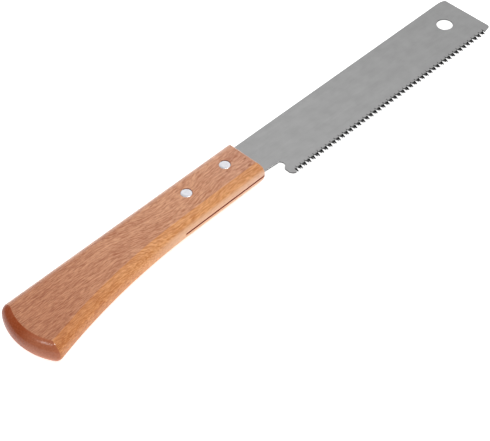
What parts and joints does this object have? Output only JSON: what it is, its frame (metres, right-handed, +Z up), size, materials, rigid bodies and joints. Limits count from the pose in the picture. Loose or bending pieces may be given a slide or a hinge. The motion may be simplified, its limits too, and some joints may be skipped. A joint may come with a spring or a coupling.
{
  "type": "japanese pull saw",
  "caption": "Small Japanese pull saw: thin steel blade with fine alternately set teeth and a hang hole, its tang riveted into a kerf in a flat beech handle that flares at the butt.",
  "frame": {"origin": "on the surface the saw lies on, under the middle of its bounding box", "axes": "+X along the blade to its tip, +Y from the teeth to the spine, +Z up out of the blade's side"},
  "size_m": [0.2908, 0.037, 0.0112],
  "materials": {
    "beech": "clear lacquered beech, satin to semi-gloss",
    "saw_steel": "satin rolled spring steel with dark ground teeth",
    "rivet_aluminium": "sanded flush, satin"
  },
  "bodies": {
    "root": {"handle": "beech", "blade": "saw_steel", "front_rivet": "rivet_aluminium", "rear_rivet": "rivet_aluminium"}
  },
  "joints": []
}
